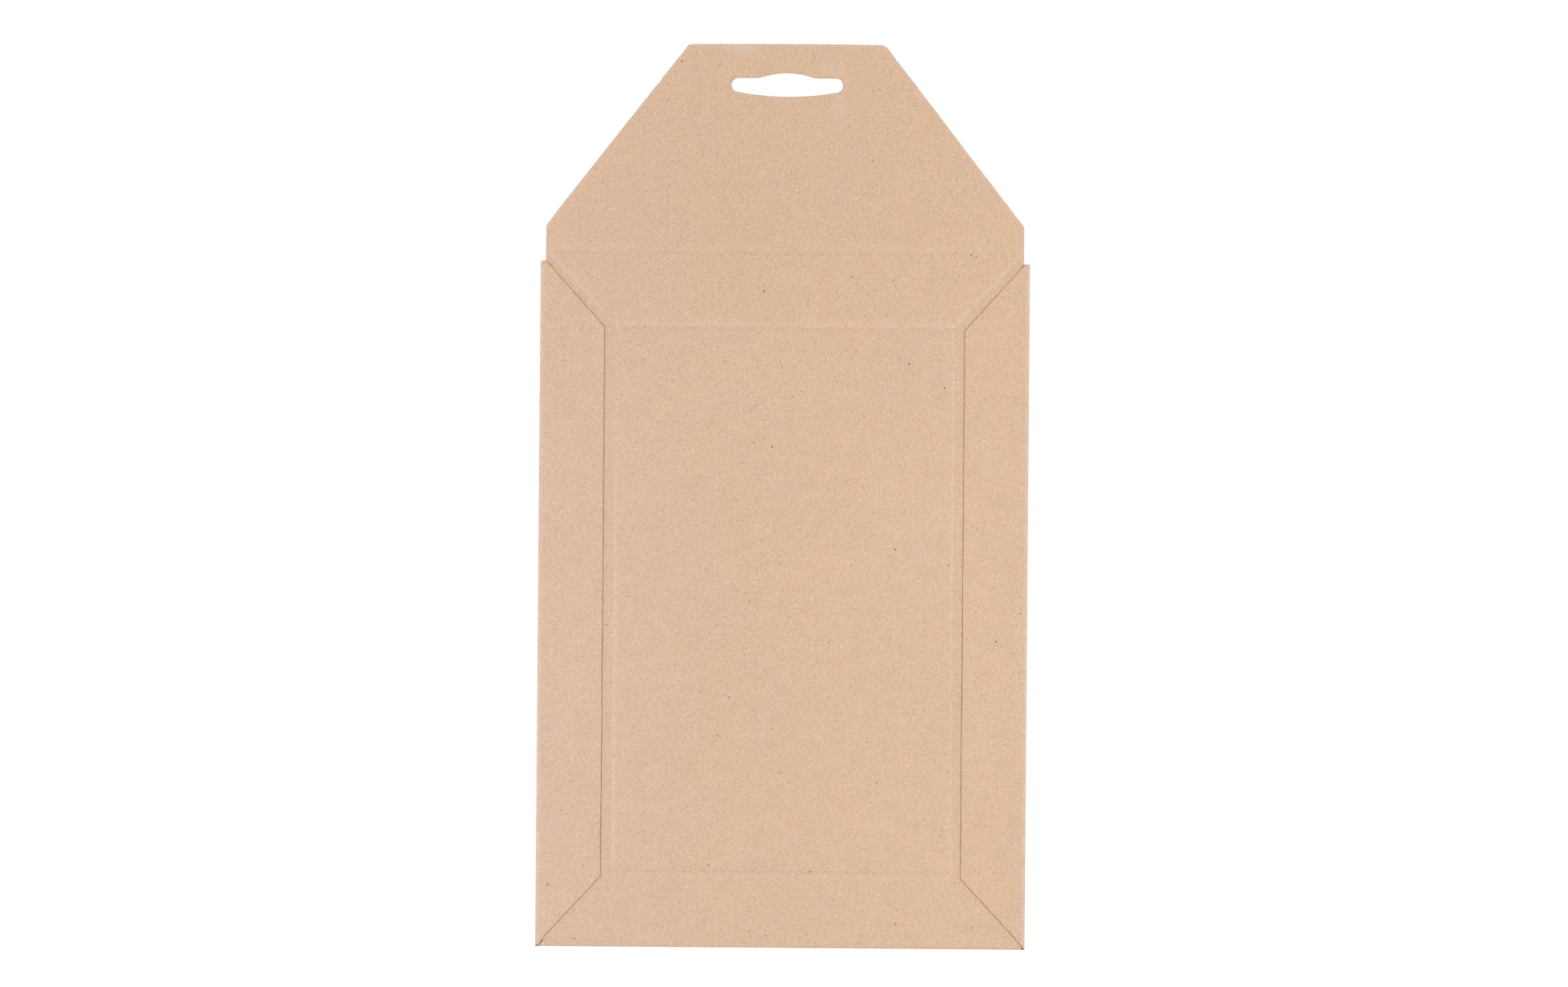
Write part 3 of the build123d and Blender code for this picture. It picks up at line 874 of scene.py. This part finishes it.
        # painted shade where the mitres run out, at the mouth's ledges and the bottom corners, in the crevices there
        for x, y, r, shade, strength in (
            (-89.2, 257.55, 0.55, (0.22, 0.125, 0.075), 0.70), (-88.5, 256.8, 0.40, (0.22, 0.125, 0.075), 0.35),
            (-90.1, 258.6, 0.35, (0.22, 0.125, 0.075), 0.35), (90.1, 258.5, 0.45, (0.22, 0.125, 0.075), 0.50), (89.5, 257.9, 0.40, (0.22, 0.125, 0.075), 0.35),
            (-89.75, 2.55, 0.30, (0.13, 0.08, 0.06), 0.60), (-90.15, 1.95, 0.42, (0.13, 0.08, 0.06), 0.85), (-90.75, 1.25, 0.42, (0.14, 0.09, 0.07), 0.65),
            (-91.35, 0.65, 0.42, (0.14, 0.09, 0.07), 0.45), (91.3, 1.5, 0.45, (0.25, 0.16, 0.11), 0.35),
        ):
            dab(spot(t, p, x, y, r, r, 0.6), shade, strength)
        for x, y, rx, ry, shade, strength in (
            (-92.2, 0.15, 0.55, 0.45, (0.20, 0.18, 0.17), 0.60), (-91.5, 0.45, 0.50, 0.35, (0.20, 0.17, 0.15), 0.35),
            (92.3, 0.15, 0.60, 0.50, (0.20, 0.18, 0.17), 0.65), (91.6, 258.85, 1.3, 0.45, (0.66, 0.56, 0.53), 0.60),
        ):
            dab(spot(t, p, x, y, rx, ry, 0.5, on_flap), shade, strength)
        # single specks, at their own places
        squeezed = t.scaled(p, (1.0, 1.3, 0.0))
        for shade, strength, places in SPECKS:
            nearest = None
            for where, x, y, r in places:
                a, b = where(x, y)
                d = t.node("ShaderNodeVectorMath", {0: squeezed, 1: (a, 1.3 * b, 0)}, operation="DISTANCE").outputs["Value"]
                d = t.math("MULTIPLY", d, 1 / r)
                nearest = d if nearest is None else t.math("MINIMUM", nearest, d)
            ragged_edge = t.math("MULTIPLY_ADD", fine, 0.9, t.math("ADD", nearest, -0.45))
            dab(t.step(ragged_edge, 1.55, 0.40), shade, strength)
    t.tree.links.new(colour, t.shader.inputs["Base Color"])
    # fibres stand up slightly, and their tops catch the light
    if cut:
        height = t.add(t.math("MULTIPLY", fine, 0.6), t.math("MULTIPLY", ply, 0.7))
        depth = 0.00009
    else:
        height = t.add(t.math("MULTIPLY", fine, 0.55), t.math("MULTIPLY", mid, 0.55),
                       t.math("MULTIPLY", t.noise(t.scaled(p, (5.5, 8.0, 6.0)), 1.0, 2.0, 0.6), 0.22))
        depth = 0.00005
    bump = t.node("ShaderNodeBump", {"Height": height, "Distance": depth, "Strength": 0.55})
    t.tree.links.new(bump.outputs[0], t.shader.inputs["Normal"])
    gloss = t.step(fine, 0.3, 0.7, 0.97, 0.86, kind="LINEAR")
    gloss = t.math("SUBTRACT", gloss, t.math("MULTIPLY", pale_at, 0.25))
    t.tree.links.new(gloss, t.shader.inputs["Roughness"])
    return t.material


# Specks that stand out: a shade, its strength, and the panel, place and radius of each
SPECKS = [
    ((0.110, 0.055, 0.030), 0.92, [
        (on_back, 47.1, 221.2, 0.40), (on_back, 42.5, 151.1, 0.39), (on_back, 60.6, 212.2, 0.38), (on_back, -4.4, 189.4, 0.39),
        (on_back, 25.2, 253.9, 0.30), (on_back, -7.9, 248.2, 0.40), (on_flap, 80.9, 116.4, 0.36), (on_back, 70.3, 262.6, 0.28),
        (on_back, 72.2, 261.9, 0.28), (on_back, -39.7, 335.1, 0.36), (on_back, -5.3, 4.5, 0.26),
    ]),
    ((0.250, 0.138, 0.082), 0.70, [
        (on_back, -77.8, 2.9, 0.44), (on_flap, -88.1, 23.3, 0.52), (on_back, 36.2, 62.4, 0.38), (on_back, -24.2, 80.2, 0.38),
        (on_back, 43.7, 9.4, 0.42), (on_back, -61.3, 71.7, 0.24), (on_back, -19.8, 94.5, 0.37), (on_back, 11.2, 29.0, 0.39),
        (on_back, 62.7, 145.2, 0.37), (on_back, -1.0, 219.9, 0.32), (on_back, 6.7, 210.5, 0.32), (on_back, -6.5, 105.3, 0.30),
        (on_back, 17.5, 115.6, 0.35), (on_flap, -82.8, 51.4, 0.34), (on_flap, 90.0, 127.1, 0.47), (on_back, -42.9, 207.7, 0.32),
    ]),
    ((0.450, 0.160, 0.090), 0.74, [(on_back, -27.2, 31.1, 0.51), (on_back, -12.5, 131.2, 0.37)]),
]

BASE = (0.690, 0.4715, 0.3285)
face_mat = board_material("board_face", BASE, outside=True)
inner_mat = board_material("board_inner", (BASE[0] * 0.97, BASE[1] * 0.975, BASE[2] * 0.985), grain=1.1)
edge_mat = board_material("board_cut_edge", (BASE[0] * 0.80, BASE[1] * 0.80, BASE[2] * 0.84), cut=True)
for m in (face_mat, inner_mat, edge_mat):
    mesh.materials.append(m)


def glue_material():
    t = Tree("dried_glue", 0.45, 0.45, "3D")
    p = t.scaled(t.node("ShaderNodeTexCoord").outputs["Object"], (1000, 1000, 1000))
    swirl = t.noise(t.scaled(p, (0.25, 0.06, 1.0)), 1.0, 3.0, 0.6, 0.8)
    speck = t.noise(p, 1.6, 3.0, 0.6)
    colour = t.blend(t.step(swirl, 0.35, 0.65), (0.60, 0.47, 0.31, 1), (0.80, 0.71, 0.55, 1))
    colour = t.blend(t.step(speck, 0.62, 0.74, 0.0, 0.5), colour, (0.47, 0.33, 0.20, 1))
    t.tree.links.new(colour, t.shader.inputs["Base Color"])
    t.tree.links.new(t.step(speck, 0.3, 0.7, 0.36, 0.62), t.shader.inputs["Roughness"])
    bump = t.node("ShaderNodeBump", {"Height": t.add(swirl, t.math("MULTIPLY", speck, 0.4)), "Distance": 0.00006, "Strength": 0.6})
    t.tree.links.new(bump.outputs[0], t.shader.inputs["Normal"])
    return t.material


glue_mat = glue_material()
for name in ("glue_seam_left", "glue_seam_right"):
    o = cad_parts[name]
    if o.data.materials:
        for i in range(len(o.data.materials)):
            o.material_slots[i].material = glue_mat
    else:
        o.data.materials.append(glue_mat)

# ============================================================================
# Floor, light and camera
# ============================================================================
floor_mesh = bpy.data.meshes.new("floor")
half = 4.0
floor_mesh.from_pydata([(-half, -half, 0), (half, -half, 0), (half, half, 0), (-half, half, 0)], [], [(0, 1, 2, 3)])
floor = bpy.data.objects.new("floor", floor_mesh)
floor.location = (0, 0, -0.00005)
bpy.context.scene.collection.objects.link(floor)
t = Tree("light_table", 0.9, 0.1)
t.shader.inputs["Base Color"].default_value = (0.90, 0.90, 0.90, 1)
t.shader.inputs["Emission Color"].default_value = (1, 1, 1, 1)
t.shader.inputs["Emission Strength"].default_value = 0.18
floor_mesh.materials.append(t.material)

world = bpy.data.worlds.new("studio")
world.use_nodes = True
bg = world.node_tree.nodes["Background"]
bg.inputs["Color"].default_value = (1, 1, 1, 1)
bg.inputs["Strength"].default_value = 0.27
bpy.context.scene.world = world


def softbox(name, place, size, share):
    """A square light aimed at the middle. share is how bright it makes a white, level surface there, out of 1."""
    data = bpy.data.lights.new(name, "AREA")
    data.shape = "SQUARE"
    data.size = size
    d = Vector(place)
    data.energy = share * math.pi ** 2 * d.length_squared / (d.z / d.length)
    o = bpy.data.objects.new(name, data)
    o.location = d
    o.rotation_euler = d.to_track_quat("Z", "Y").to_euler()
    bpy.context.scene.collection.objects.link(o)
    return o


softbox("overhead_softbox", (0.0, 0.10, 3.2), 2.4, 0.885)
softbox("left_strip", (-3.4, 0.0, 0.9), 0.8, 0.020)
softbox("right_strip", (3.4, 0.0, 0.9), 0.8, 0.020)

bpy.context.scene.view_settings.view_transform = "Standard"
bpy.context.scene.view_settings.look = "None"

cam_data = bpy.data.cameras.new("camera")
cam = bpy.data.objects.new("camera", cam_data)
bpy.context.scene.collection.objects.link(cam)
DISTANCE = 2.2
FRAME_W = 1946 * 0.30468e-3
cam_data.sensor_width = 36.0
cam_data.lens = 36.0 * (DISTANCE - 0.0017) / FRAME_W
cam.location = (0.00019, 0.00098, DISTANCE)
cam.rotation_euler = (0, 0, math.radians(0.463))
cam_data.clip_start, cam_data.clip_end = 0.05, 30
bpy.context.scene.camera = cam
